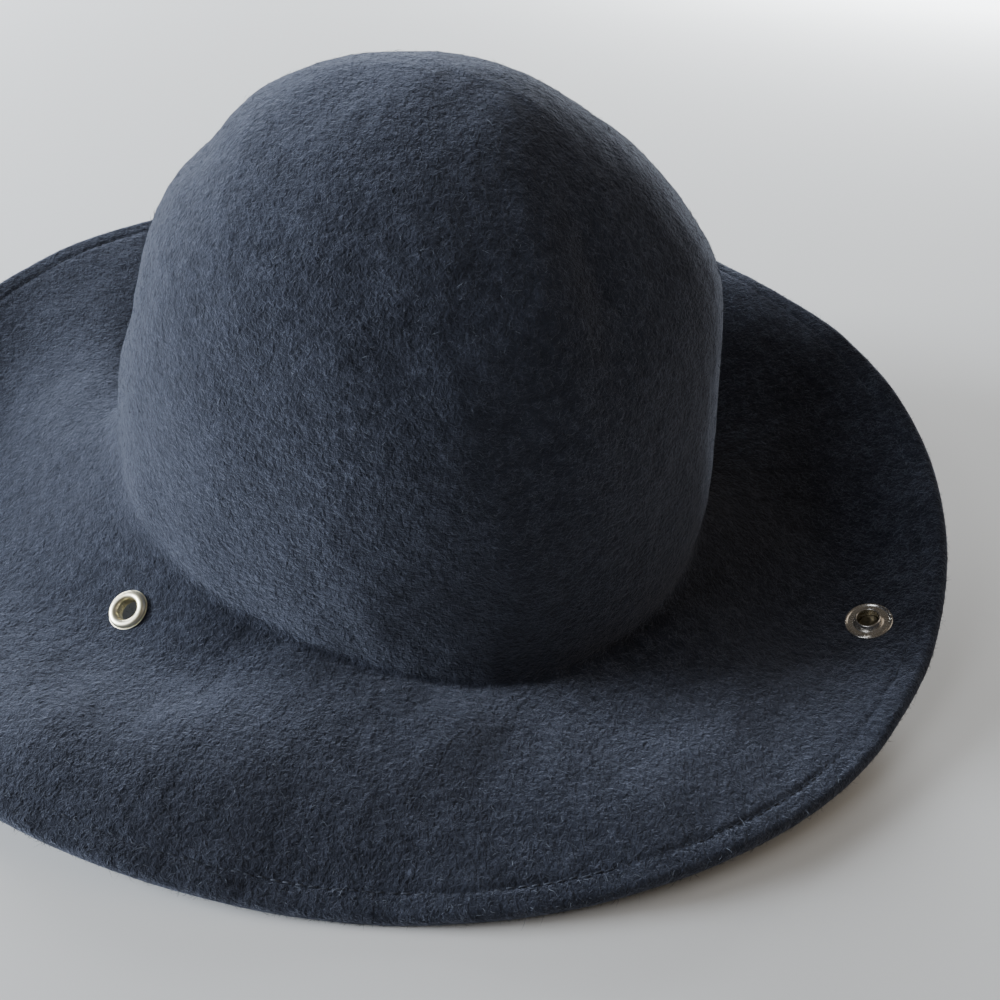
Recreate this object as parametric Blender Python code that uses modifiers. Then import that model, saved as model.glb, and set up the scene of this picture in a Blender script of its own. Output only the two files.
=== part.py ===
"""Wide-brim felt hat with an open, round crown.

The crown, the brim and the brim's turned-under hem are one sheet of pressed wool felt. A brass
eyelet is set through the brim beside the crown, and half of a snap fastener near the brim's edge
on the other side. Metres, +Z up. The crown's long oval lies along X, the hat rests on z = 0, and
the origin is the middle of its outline there.
"""

import math

import bmesh
import bpy
import numpy as np
from mathutils import Matrix, Vector

OBJECT_NAME = "wide_brim_felt_hat"

# Felt sheet
FELT_WALL = 0.0022
CREASE_ROUND = 0.0036

# Crown, measured outside the felt. The top's height is above the surface the hat rests on
CROWN_LENGTH = 0.2086
CROWN_WIDTH = 0.1690
CROWN_TOP = 0.1687
CROWN_LEAN_X = 0.0035
CROWN_LEAN_Y = -0.0047
CROWN_SWELL = 0.0014
DENT_DEPTH = 0.0060
FOOT_FLARE = 0.0035

# Brim, from the crease to its rolled edge. The lifts are how far the crease and the edge rise at
# most above where they would lie on a table
BRIM_WIDTH = 0.0880
BRIM_LIFT = 0.0770
CREASE_LIFT = 0.0358
BRIM_ARCH = 0.0200

# Hem: the edge turned under and stitched
HEM_WIDTH = 0.0090
HEM_GAP = 0.0004

# Metal fittings
FIT_GAP = 0.0003
FELT_SQUEEZE = 0.0001
EYELET_FLANGE_RADIUS = 0.0065
EYELET_BORE_RADIUS = 0.0034
EYELET_METAL = 0.0005
EYELET_CROWN = 0.0016
EYELET_ROLL_RADIUS = 0.0058
EYELET_ROLL = 0.0009
STUD_FLANGE_RADIUS = 0.0080
STUD_BORE_RADIUS = 0.0036
STUD_METAL = 0.0005
STUD_COLLAR = 0.0024
STUD_LIP = 0.0009
POST_CAP_RADIUS = 0.0060
POST_CAP = 0.0010
POST_FLOOR_DEPTH = 0.0008

# Shape of the crown's outline seen from the side, how much of it is plain wall, and how fast the
# foot's flare dies out up the wall
DOME_POWER_OUT = 2.03
DOME_POWER_UP = 2.38
WALL_SHARE = 0.12
FOOT_POWER = 4

# How the brim runs round the crown. Angles count from +X, over evenly spaced rows. crease and edge
# are heights as shares of CREASE_LIFT and BRIM_LIFT. foot is how far the crown's foot stands out
# from its oval, as a share of FOOT_FLARE, and reach is a share of BRIM_WIDTH. arch is the rise of
# the brim's middle above a straight line, and curl the rise of its inner half and fall of its outer
# half, both as shares of BRIM_ARCH
BRIM_COLUMNS = ("angle", "crease", "foot", "edge", "reach", "arch", "curl")
BRIM = (
    (0, 0.662, 0.00, 0.260, 0.915, -0.77, 0.10),
    (30, 0.628, 0.00, 0.719, 0.972, -0.14, 0.04),
    (60, 0.345, 0.00, 0.876, 1.031, 0.60, -0.15),
    (90, 0.207, 0.00, 1.004, 1.081, 0.35, -0.01),
    (120, 0.241, 0.00, 0.970, 0.949, -0.04, 0.15),
    (150, 0.524, 0.46, 0.778, 0.961, 0.30, 0.02),
    (180, 0.959, 0.83, 0.450, 0.999, -0.20, 0.16),
    (210, 1.000, 0.97, 0.068, 0.988, -0.70, 0.09),
    (240, 0.655, 1.00, 0.085, 0.996, -0.38, -0.28),
    (270, 0.297, -0.14, 0.037, 0.903, 0.28, -0.07),
    (300, 0.090, 0.00, 0.033, 0.853, 0.23, -0.01),
    (330, 0.297, 0.00, 0.073, 0.854, -0.25, -0.08),
)

# Hollows pressed into the crown. up is a share of the crown's height, across and along are half
# widths as shares of CROWN_WIDTH, and depth is a share of DENT_DEPTH, below zero for a swelling
DENT_COLUMNS = ("name", "angle", "up", "across", "along", "depth")
DENTS = (
    ("left flat", 165, 0.80, 0.27, 0.18, 0.90),
    ("left crease", 195, 0.82, 0.16, 0.07, 0.32),
    ("left crest", 182, 0.92, 0.20, 0.10, -0.10),
    ("left hollow", 185, 0.45, 0.36, 0.24, 1.76),
    ("left foot", 209, 0.12, 0.30, 0.15, 0.36),
    ("right hollow", 0, 0.35, 0.36, 0.24, 0.73),
    ("right shoulder", 10, 0.66, 0.22, 0.13, -0.34),
    ("back hollow", 60, 0.88, 0.30, 0.21, 0.29),
    ("back crest", 62, 0.98, 0.16, 0.12, -0.19),
    ("top swell", 110, 0.93, 0.30, 0.21, -0.08),
    ("front pinch", 321, 0.76, 0.042, 0.13, 0.34),
    ("pinch hollow", 329, 0.74, 0.110, 0.18, 0.42),
    ("pinch bank", 312, 0.74, 0.070, 0.14, -0.15),
    ("front swell", 251, 0.75, 0.13, 0.13, -0.20),
)

# Where the fittings sit: the angle round the crown, and the share of the way out over the brim
EYELET_PLACE = (237.8, 0.184)
STUD_PLACE = (356.8, 0.783)

# Mesh fineness of the cage, before its one subdivision, and of turned metal
AROUND = 28
CROWN_ROWS = 9
FOLD_ROWS = 3
BRIM_SHARES = (0.21, 0.40, 0.59, 0.77)
PROUD_STEPS = 2
TURNED_STEPS = 16

FOLD_RADIUS = FELT_WALL + HEM_GAP / 2


def columns(names, rows):
    """The table's columns by name."""
    return {name: np.array(values) for name, values in zip(names, zip(*rows))}


BRIM_TABLE = columns(BRIM_COLUMNS, BRIM)


def round_the_crown(column, angles):
    """A smooth closed curve through a column's evenly spaced rows, as a sum of waves."""
    values = BRIM_TABLE[column].astype(float)
    waves = np.fft.rfft(values) / len(values)
    count = np.arange(len(waves))
    weight = np.where((count == 0) | (count == len(values) / 2), 1, 2)
    return (weight * waves * np.exp(1j * angles[..., None] * count)).real.sum(axis=-1)


def oval(angles):
    """Points on the crown's oval at the crease, and the directions square to it."""
    half = np.array([CROWN_LENGTH / 2, CROWN_WIDTH / 2])
    turn = np.stack([np.cos(angles), np.sin(angles)], axis=-1)
    out = turn / half
    return turn * half, out / np.linalg.norm(out, axis=-1, keepdims=True)


def crease_height(angles):
    return FELT_WALL + CREASE_LIFT * round_the_crown("crease", angles)


def foot_flare(angles):
    """How far the crown's foot stands out from the oval at the crease."""
    return FOOT_FLARE * round_the_crown("foot", angles)


def crown_width_share(up):
    """The crown's width at a share of its height, as a share of the oval's: wall, then dome."""
    rise = np.clip((up - WALL_SHARE) / (1 - WALL_SHARE), 0, 1)
    dome = (1 - rise**DOME_POWER_UP) ** (1 / DOME_POWER_OUT)
    swell = 4 * CROWN_SWELL / (CROWN_LENGTH + CROWN_WIDTH)
    return dome * (1 + swell * np.sin(np.clip(up / WALL_SHARE, 0, 1) * math.pi / 2))


def crown_rises(first):
    """Shares of the crown's height, from near its top to first, evenly spaced along its outline."""
    turn = np.linspace(0, math.pi / 2, 400)
    fine = first + (1 - first) * np.sin(turn)
    across = crown_width_share(fine) * (CROWN_LENGTH + CROWN_WIDTH) / 4
    steps = np.hypot(np.diff(across), np.diff(fine) * CROWN_TOP)
    along = np.concatenate([[0], np.cumsum(steps)]) / steps.sum()
    even = np.linspace(0, 1, CROWN_ROWS + 1)[:-1]
    return np.interp(even, along, fine)[::-1]


def plain_crown(angles, up):
    """The crown before its dents: the oval narrowed by height, from the crease to the top."""
    base, out = oval(angles)
    low = crease_height(angles)
    flare = foot_flare(angles) * (1 - up) ** FOOT_POWER
    place = np.empty(np.broadcast(angles, up).shape + (3,))
    place[..., :2] = base * crown_width_share(up)[..., None] + out * flare[..., None]
    place[..., 0] += CROWN_LEAN_X * up
    place[..., 1] += CROWN_LEAN_Y * up
    place[..., 2] = low + (CROWN_TOP - low) * up
    return place


def crown(angles, up):
    """The crown's outside, with each dent a smooth bell pressed in towards the middle."""
    place = plain_crown(angles, up)
    inward = np.array([CROWN_LEAN_X * 0.5, CROWN_LEAN_Y * 0.5, CROWN_TOP * 0.5]) - place
    inward /= np.linalg.norm(inward, axis=-1, keepdims=True)
    pressed = np.zeros(place.shape[:-1])
    for row in DENTS:
        dent = dict(zip(DENT_COLUMNS, row))
        turn = math.radians(dent["angle"])
        away = place - plain_crown(np.array(turn), np.array(dent["up"]))
        sideways = np.array([-math.sin(turn), math.cos(turn), 0.0])
        beside = away @ sideways
        updown = np.linalg.norm(away - beside[..., None] * sideways, axis=-1)
        bell = (beside / dent["across"]) ** 2 + (updown / dent["along"]) ** 2
        pressed += dent["depth"] * DENT_DEPTH * np.exp(-bell / CROWN_WIDTH**2)
    return place + inward * pressed[..., None]


def brim(angles, share):
    """The brim's top: a line from the crease to the edge at each angle, with the arch added."""
    base, out = oval(angles)
    low = crease_height(angles)
    edge = 2 * FOLD_RADIUS + BRIM_LIFT * round_the_crown("edge", angles)
    chord = BRIM_WIDTH * round_the_crown("reach", angles)
    reach = np.sqrt(chord**2 - (edge - low) ** 2)
    arch = round_the_crown("arch", angles) * np.sin(math.pi * share)
    curl = round_the_crown("curl", angles) * np.sin(2 * math.pi * share)
    place = np.empty(np.broadcast(angles, share).shape + (3,))
    place[..., :2] = base + out * (foot_flare(angles) * (1 - share) + reach * share)[..., None]
    place[..., 2] = low + (edge - low) * share + BRIM_ARCH * (arch + curl)
    return place


def brim_frame(angles, share):
    """The way up and the way out, both of length one, at points of the brim."""
    step = 0.001
    outward = brim(angles, share + step) - brim(angles, share - step)
    outward /= np.linalg.norm(outward, axis=-1, keepdims=True)
    sideways = brim(angles + step, share) - brim(angles - step, share)
    upward = np.cross(outward, sideways)
    return upward / np.linalg.norm(upward, axis=-1, keepdims=True), outward


def sheet_rows():
    """The felt's outer side as rings of points, from the crown's top to the hem's raw edge."""
    angles = np.arange(AROUND) * 2 * math.pi / AROUND
    corner = brim(angles, np.zeros(AROUND))
    first_rise = CREASE_ROUND / (CROWN_TOP - corner[:, 2])
    rows = [crown(angles, rise) for rise in np.array([crown_rises(low) for low in first_rise]).T]
    first = brim(angles, np.full(AROUND, CREASE_ROUND / BRIM_WIDTH))
    rows += [(rows[-1] + 2 * corner + first) / 4, first]
    stitched = 1 - (HEM_WIDTH - FOLD_RADIUS) / BRIM_WIDTH
    rolled = (1 + stitched) / 2
    for share in (*BRIM_SHARES, stitched, rolled, 1.0):
        rows.append(brim(angles, np.full(AROUND, share)))
    up, out = brim_frame(angles, np.ones(AROUND))
    centre = rows[-1] - FOLD_RADIUS * up
    for turn in np.linspace(0, math.pi, FOLD_ROWS + 1)[1:]:
        rows.append(centre + FOLD_RADIUS * (up * math.cos(turn) + out * math.sin(turn)))
    for share in (rolled, stitched):
        up, _ = brim_frame(angles, np.full(AROUND, share))
        rows.append(brim(angles, np.full(AROUND, share)) - 2 * FOLD_RADIUS * up)
    return np.array(rows)


def stand_proud(rows):
    """Moves a cage outwards, in steps, until the smooth sheet that it makes meets the rows."""
    def smoothed(points, axis):
        return (np.roll(points, 1, axis) + 4 * points + np.roll(points, -1, axis)) / 6

    cage = rows
    for _ in range(PROUD_STEPS):
        ringed = smoothed(cage, 1)
        both = smoothed(ringed, 0)
        both[0], both[-1] = ringed[0], ringed[-1]
        cage = cage + rows - both
    return cage


def build_sheet(name, rows, top, offset):
    """One open sheet: rings joined by quads, closed at the top by triangles to one point."""
    mesh = bmesh.new()
    rings = [[mesh.verts.new(point + offset) for point in row] for row in rows]
    pole = mesh.verts.new(top + offset)
    for inner, outer in zip(rings, rings[1:]):
        for index in range(AROUND):
            after = (index + 1) % AROUND
            mesh.faces.new((inner[index], outer[index], outer[after], inner[after]))
    for index in range(AROUND):
        mesh.faces.new((pole, rings[0][index], rings[0][(index + 1) % AROUND]))
    data = bpy.data.meshes.new(name)
    mesh.to_mesh(data)
    mesh.free()
    return bpy.data.objects.new(name, data)


def turned(name, profile, frame):
    """A body turned about its own Z: profile is (radius, height) points, down the outer side."""
    closed = profile[0][0] > 0
    data = bpy.data.meshes.new(name)
    points = [(radius, 0.0, height) for radius, height in profile]
    edges = [(index, index + 1) for index in range(len(points) - 1)]
    if closed:
        edges.append((len(points) - 1, 0))
    data.from_pydata(points, edges, [])
    body = bpy.data.objects.new(name, data)
    screw = body.modifiers.new("turn", "SCREW")
    screw.angle = 2 * math.pi
    screw.steps = TURNED_STEPS
    screw.render_steps = TURNED_STEPS
    screw.use_merge_vertices = True
    screw.merge_threshold = 0.00001
    screw.use_smooth_shade = True
    body.matrix_world = frame
    return body


def fitting_frame(place, offset):
    """A frame on the brim's top at a fitting's place, with Z square to the felt."""
    angle, share = np.array([math.radians(place[0])]), np.array([place[1]])
    up, out = brim_frame(angle, share)
    spot = brim(angle, share)[0] + offset
    axis_z, axis_x = Vector(up[0]), Vector(out[0])
    turn = Matrix((axis_x, axis_z.cross(axis_x), axis_z)).transposed().to_4x4()
    return Matrix.Translation(Vector(spot)) @ turn


def felt_cutter(name, frame, hole, top_radius, under_radius):
    """Cuts the hole for a barrel, with a flat seat pressed into the felt on each side of it."""
    seat = -FELT_SQUEEZE - FIT_GAP
    under = -FELT_WALL + FELT_SQUEEZE + FIT_GAP
    reach = 2 * FELT_WALL
    hole_radius = hole + FIT_GAP
    top_radius = top_radius + FIT_GAP
    under_radius = under_radius + FIT_GAP
    profile = (
        (0, reach), (top_radius, reach), (top_radius, seat), (hole_radius, seat),
        (hole_radius, under), (under_radius, under), (under_radius, -FELT_WALL - reach),
        (0, -FELT_WALL - reach),
    )
    cutter = turned(name, profile, frame)
    cutter.hide_render = True
    cutter.display_type = "WIRE"
    return cutter


def eyelet_profile():
    """A tube with a domed flange above the felt and its end rolled out below."""
    bore, barrel = EYELET_BORE_RADIUS, EYELET_BORE_RADIUS + EYELET_METAL
    rim, seat = EYELET_FLANGE_RADIUS, -FELT_SQUEEZE
    under = -FELT_WALL + FELT_SQUEEZE
    width = rim - bore
    return (
        (bore, seat + 0.45 * EYELET_CROWN),
        (bore + 0.12 * width, seat + 0.85 * EYELET_CROWN),
        (bore + 0.42 * width, seat + EYELET_CROWN),
        (bore + 0.78 * width, seat + 0.80 * EYELET_CROWN),
        (bore + 0.96 * width, seat + 0.35 * EYELET_CROWN),
        (rim, seat), (barrel, seat), (barrel, under),
        (EYELET_ROLL_RADIUS, under), (EYELET_ROLL_RADIUS - EYELET_METAL, under - EYELET_ROLL),
        (barrel, under - EYELET_ROLL), (bore, under - 0.5 * EYELET_ROLL),
    )


def stud_profile():
    """A flat ring with a rolled lip, and a raised collar round a hole that goes right through."""
    bore, barrel = STUD_BORE_RADIUS, STUD_BORE_RADIUS + STUD_METAL
    rim, seat = STUD_FLANGE_RADIUS, -FELT_SQUEEZE
    collar = barrel + STUD_METAL
    flat = seat + STUD_METAL
    return (
        (bore, seat + 0.88 * STUD_COLLAR), (bore + 0.5 * STUD_METAL, seat + STUD_COLLAR),
        (barrel + 0.4 * STUD_METAL, seat + 0.97 * STUD_COLLAR),
        (collar - 0.3 * STUD_METAL, seat + 0.80 * STUD_COLLAR),
        (collar, flat), (rim - 2.2 * STUD_METAL, flat),
        (rim - 1.6 * STUD_METAL, seat + STUD_LIP), (rim - 0.6 * STUD_METAL, seat + STUD_LIP),
        (rim, seat + 0.5 * STUD_LIP), (rim - 0.3 * STUD_METAL, seat),
        (barrel, seat), (barrel, -FELT_WALL + FELT_SQUEEZE), (bore, -FELT_WALL + FELT_SQUEEZE),
    )


def post_profile():
    """A flat cap under the felt with a plain peg, whose top is the floor seen in the stud."""
    peg = STUD_BORE_RADIUS - FIT_GAP
    cap_top = -FELT_WALL + FELT_SQUEEZE - FIT_GAP
    cap_bottom = cap_top - POST_CAP
    bevel = 0.3 * POST_CAP
    return (
        (0, -POST_FLOOR_DEPTH), (peg, -POST_FLOOR_DEPTH), (peg, cap_top),
        (POST_CAP_RADIUS, cap_top), (POST_CAP_RADIUS, cap_bottom + bevel),
        (POST_CAP_RADIUS - bevel, cap_bottom), (0, cap_bottom),
    )


def material(name, colour, roughness, metallic):
    """A plain finish for one piece."""
    finish = bpy.data.materials.new(name)
    finish.use_nodes = True
    shader = finish.node_tree.nodes["Principled BSDF"]
    shader.inputs["Base Color"].default_value = (*colour, 1.0)
    shader.inputs["Roughness"].default_value = roughness
    shader.inputs["Metallic"].default_value = metallic
    return finish


def build_felt(offset, rows, top):
    """Crown, brim and hem: the cage, smoothed once and given its wall inwards."""
    felt = build_sheet("felt_body", rows, top, offset)
    felt.data.materials.append(material("navy_felt", (0.012, 0.017, 0.030), 0.95, 0.0))
    smooth = felt.modifiers.new("soft form", "SUBSURF")
    smooth.levels = 1
    smooth.render_levels = 1
    wall = felt.modifiers.new("felt wall", "SOLIDIFY")
    wall.thickness = FELT_WALL
    wall.offset = -1
    wall.use_even_offset = True
    felt.data.shade_smooth()
    return felt


def cut(body, cutter):
    """Cuts a fitting's hole and seats from the felt."""
    hole = body.modifiers.new(cutter.name, "BOOLEAN")
    hole.operation = "DIFFERENCE"
    hole.solver = "EXACT"
    hole.object = cutter


def build():
    for old in list(bpy.data.objects):
        bpy.data.objects.remove(old, do_unlink=True)
    parts = bpy.data.collections.new(OBJECT_NAME)
    cutters = bpy.data.collections.new("cutters")
    for collection in (parts, cutters):
        bpy.context.scene.collection.children.link(collection)

    rows = sheet_rows()
    top = crown(np.zeros(1), np.ones(1))[0]
    lowest, highest = rows.min(axis=(0, 1)), rows.max(axis=(0, 1))
    offset = -np.array([*(lowest + highest)[:2] / 2, lowest[2]])

    felt = build_felt(offset, stand_proud(rows), top)
    eyelet_frame = fitting_frame(EYELET_PLACE, offset)
    stud_frame = fitting_frame(STUD_PLACE, offset)
    eyelet = turned("brim_eyelet", eyelet_profile(), eyelet_frame)
    eyelet.data.materials.append(material("pale_brass", (0.72, 0.62, 0.42), 0.3, 1.0))
    stud = turned("snap_stud", stud_profile(), stud_frame)
    stud.data.materials.append(material("nickel", (0.62, 0.60, 0.56), 0.28, 1.0))
    post = turned("snap_post", post_profile(), stud_frame)
    post.data.materials.append(material("dull_brass", (0.24, 0.20, 0.12), 0.45, 1.0))
    for body in (felt, eyelet, stud, post):
        parts.objects.link(body)

    barrel = EYELET_BORE_RADIUS + EYELET_METAL
    stud_barrel = STUD_BORE_RADIUS + STUD_METAL
    holes = (
        felt_cutter("eyelet_hole", eyelet_frame, barrel, EYELET_FLANGE_RADIUS, EYELET_ROLL_RADIUS),
        felt_cutter("stud_hole", stud_frame, stud_barrel, STUD_FLANGE_RADIUS, POST_CAP_RADIUS),
    )
    for hole in holes:
        cutters.objects.link(hole)
        cut(felt, hole)


build()
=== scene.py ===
"""Looks of the wide-brim felt hat: its felt, hem stitches, loose fibres, eyelet and snap stud.

Metres, +Z up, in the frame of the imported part. The crown's long oval lies along X.
"""

import math

import bpy
import numpy as np
from mathutils import Matrix, Vector


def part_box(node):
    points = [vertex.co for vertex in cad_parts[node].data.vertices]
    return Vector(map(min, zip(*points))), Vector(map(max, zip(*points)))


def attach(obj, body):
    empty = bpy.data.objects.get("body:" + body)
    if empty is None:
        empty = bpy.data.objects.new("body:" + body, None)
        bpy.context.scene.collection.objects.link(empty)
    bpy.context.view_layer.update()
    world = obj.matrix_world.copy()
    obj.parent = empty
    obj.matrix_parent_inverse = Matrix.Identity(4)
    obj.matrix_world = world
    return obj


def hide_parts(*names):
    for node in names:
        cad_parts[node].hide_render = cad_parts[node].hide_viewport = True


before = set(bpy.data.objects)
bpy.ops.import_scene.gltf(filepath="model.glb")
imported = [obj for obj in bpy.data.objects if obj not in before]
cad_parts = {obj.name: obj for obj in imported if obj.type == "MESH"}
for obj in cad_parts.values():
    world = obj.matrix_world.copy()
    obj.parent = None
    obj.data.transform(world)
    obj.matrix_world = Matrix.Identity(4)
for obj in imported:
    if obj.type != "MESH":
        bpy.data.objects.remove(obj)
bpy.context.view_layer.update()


# The felt: crown, brim and turned-under hem in one sheet of pressed navy wool, blocked over a round
# form. The brim's edge is folded under by 9 mm and sewn down, and the two fittings go through it.

FELT_WALL = 0.0022
CREASE_ROUND = 0.0036
CROWN_LENGTH = 0.2086
CROWN_WIDTH = 0.1690
CROWN_TOP = 0.1687
CROWN_LEAN_X = 0.0035
CROWN_LEAN_Y = -0.0047
CROWN_SWELL = 0.0014
DENT_DEPTH = 0.0060
BRIM_WIDTH = 0.0880
BRIM_LIFT = 0.0770
CREASE_LIFT = 0.0358
BRIM_ARCH = 0.0200
FOOT_FLARE = 0.0035
HEM_WIDTH = 0.0090
HEM_GAP = 0.0004
HEM_MARGIN = 0.0030
DOME_POWER_OUT = 2.03
DOME_POWER_UP = 2.38
WALL_SHARE = 0.12
FOOT_POWER = 4
FOLD_RADIUS = FELT_WALL + HEM_GAP / 2

# Rows round the crown every 30 degrees from +X: crease and edge heights as shares of CREASE_LIFT
# and BRIM_LIFT, foot as a share of FOOT_FLARE, reach of BRIM_WIDTH, arch and curl of BRIM_ARCH
BRIM_COLUMNS = ("angle", "crease", "foot", "edge", "reach", "arch", "curl")
BRIM = (
    (0, 0.662, 0.00, 0.260, 0.915, -0.77, 0.10),
    (30, 0.628, 0.00, 0.719, 0.972, -0.14, 0.04),
    (60, 0.345, 0.00, 0.876, 1.031, 0.60, -0.15),
    (90, 0.207, 0.00, 1.004, 1.081, 0.35, -0.01),
    (120, 0.241, 0.00, 0.970, 0.949, -0.04, 0.15),
    (150, 0.524, 0.46, 0.778, 0.961, 0.30, 0.02),
    (180, 0.959, 0.83, 0.450, 0.999, -0.20, 0.16),
    (210, 1.000, 0.97, 0.068, 0.988, -0.70, 0.09),
    (240, 0.655, 1.00, 0.085, 0.996, -0.38, -0.28),
    (270, 0.297, -0.14, 0.037, 0.903, 0.28, -0.07),
    (300, 0.090, 0.00, 0.033, 0.853, 0.23, -0.01),
    (330, 0.297, 0.00, 0.073, 0.854, -0.25, -0.08),
)

# Hollows and swellings of the crown: place, half widths as shares of CROWN_WIDTH, and depth
DENT_COLUMNS = ("name", "angle", "up", "across", "along", "depth")
DENTS = (
    ("left flat", 165, 0.80, 0.27, 0.18, 0.90),
    ("left crease", 195, 0.82, 0.16, 0.07, 0.32),
    ("left crest", 182, 0.92, 0.20, 0.10, -0.10),
    ("left hollow", 185, 0.45, 0.36, 0.24, 1.76),
    ("left foot", 209, 0.12, 0.30, 0.15, 0.36),
    ("right hollow", 0, 0.35, 0.36, 0.24, 0.73),
    ("right shoulder", 10, 0.66, 0.22, 0.13, -0.34),
    ("back hollow", 60, 0.88, 0.30, 0.21, 0.29),
    ("back crest", 62, 0.98, 0.16, 0.12, -0.19),
    ("top swell", 110, 0.93, 0.30, 0.21, -0.08),
    ("front pinch", 321, 0.76, 0.042, 0.13, 0.34),
    ("pinch hollow", 329, 0.74, 0.110, 0.18, 0.42),
    ("pinch bank", 312, 0.74, 0.070, 0.14, -0.15),
    ("front swell", 251, 0.75, 0.13, 0.13, -0.20),
)

# Where the fittings sit: angle and share of the way out. The felt dips a little under each flange
EYELET_PLACE = (237.8, 0.184)
STUD_PLACE = (356.8, 0.783)
EYELET_HOLE = 0.0041
STUD_HOLE = 0.0044
FITTING_DIP = 0.0005
FITTING_DIP_RADIUS = 0.0085

# Fine form of the felt: the groove that the stitches pull, and the unevenness of the sheet
STITCH_INSET = 0.0075
GROOVE_DEPTH = 0.00045
GROOVE_HALF_WIDTH = 0.0011
GROOVE_WAVES = (0.006, 0.020)
GROOVE_VARIES = 0.35
UNEVEN_LONG = 0.00040
LONG_WAVES = (0.022, 0.060)
UNEVEN_SHORT = 0.00012
SHORT_WAVES = (0.005, 0.012)

FELT_COLUMNS = 288
CROWN_RINGS = 80
CREASE_RINGS = 7
BRIM_RINGS = 50
HEM_RINGS = 22
FOLD_RINGS = 12
FLAP_RINGS = 10
RAW_EDGE_RINGS = 4
UNDER_RINGS = 30
HOLE_SIDES = 48

BRIM_TABLE = {name: np.array(values) for name, values in zip(BRIM_COLUMNS, zip(*BRIM))}


def round_the_crown(column, angles):
    """A closed curve through evenly spaced rows: the sum of their Fourier waves at each angle."""
    values = BRIM_TABLE[column].astype(float)
    waves = np.fft.rfft(values) / len(values)
    count = np.arange(len(waves))
    weight = np.where((count == 0) | (count == len(values) / 2), 1, 2)
    return (weight * waves * np.exp(1j * angles[..., None] * count)).real.sum(axis=-1)


def oval(angles):
    """The crown's oval: half length times cosine, half width times sine, and its outward normal."""
    half = np.array([CROWN_LENGTH / 2, CROWN_WIDTH / 2])
    turn = np.stack([np.cos(angles), np.sin(angles)], axis=-1)
    out = turn / half
    return turn * half, out / np.linalg.norm(out, axis=-1, keepdims=True)


def crease_height(angles):
    """The crease lies a felt's thickness up, plus its share of CREASE_LIFT."""
    return FELT_WALL + CREASE_LIFT * round_the_crown("crease", angles)


def foot_flare(angles):
    """How far the crown's foot stands out from the oval: its share of FOOT_FLARE."""
    return FOOT_FLARE * round_the_crown("foot", angles)


def crown_width_share(up):
    """Width by height: a straight wall that swells as a sine, then a superellipse's quarter."""
    rise = np.clip((up - WALL_SHARE) / (1 - WALL_SHARE), 0, 1)
    dome = (1 - rise**DOME_POWER_UP) ** (1 / DOME_POWER_OUT)
    swell = 4 * CROWN_SWELL / (CROWN_LENGTH + CROWN_WIDTH)
    return dome * (1 + swell * np.sin(np.clip(up / WALL_SHARE, 0, 1) * math.pi / 2))


def plain_crown(angles, up):
    """The oval scaled by the width at its height, and leaned over in proportion to height."""
    base, out = oval(angles)
    low = crease_height(angles)
    flare = foot_flare(angles) * (1 - up) ** FOOT_POWER
    place = np.empty(np.broadcast(angles, up).shape + (3,))
    place[..., :2] = base * crown_width_share(up)[..., None] + out * flare[..., None]
    place[..., 0] += CROWN_LEAN_X * up
    place[..., 1] += CROWN_LEAN_Y * up
    place[..., 2] = low + (CROWN_TOP - low) * up
    return place


def crown(angles, up):
    """The plain crown moved towards its middle by a sum of bells, one for each dent."""
    place = plain_crown(angles, up)
    inward = np.array([CROWN_LEAN_X * 0.5, CROWN_LEAN_Y * 0.5, CROWN_TOP * 0.5]) - place
    inward /= np.linalg.norm(inward, axis=-1, keepdims=True)
    pressed = np.zeros(place.shape[:-1])
    for row in DENTS:
        dent = dict(zip(DENT_COLUMNS, row))
        turn = math.radians(dent["angle"])
        away = place - plain_crown(np.array(turn), np.array(dent["up"]))
        sideways = np.array([-math.sin(turn), math.cos(turn), 0.0])
        beside = away @ sideways
        updown = np.linalg.norm(away - beside[..., None] * sideways, axis=-1)
        bell = (beside / dent["across"]) ** 2 + (updown / dent["along"]) ** 2
        pressed += dent["depth"] * DENT_DEPTH * np.exp(-bell / CROWN_WIDTH**2)
    return place + inward * pressed[..., None]


def brim(angles, share):
    """A straight line from crease to edge, plus a half sine wave (arch) and a whole one (curl)."""
    base, out = oval(angles)
    low = crease_height(angles)
    edge = 2 * FOLD_RADIUS + BRIM_LIFT * round_the_crown("edge", angles)
    chord = BRIM_WIDTH * round_the_crown("reach", angles)
    reach = np.sqrt(chord**2 - (edge - low) ** 2)
    arch = round_the_crown("arch", angles) * np.sin(math.pi * share)
    curl = round_the_crown("curl", angles) * np.sin(2 * math.pi * share)
    place = np.empty(np.broadcast(angles, share).shape + (3,))
    place[..., :2] = base + out * (foot_flare(angles) * (1 - share) + reach * share)[..., None]
    place[..., 2] = low + (edge - low) * share + BRIM_ARCH * (arch + curl)
    return place


def brim_frame(angles, share):
    """Unit normal and unit outward direction of the brim, from differences a small step apart."""
    step = 0.001
    outward = brim(angles, share + step) - brim(angles, share - step)
    outward /= np.linalg.norm(outward, axis=-1, keepdims=True)
    sideways = brim(angles + step, share) - brim(angles - step, share)
    upward = np.cross(outward, sideways)
    return upward / np.linalg.norm(upward, axis=-1, keepdims=True), outward


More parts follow.
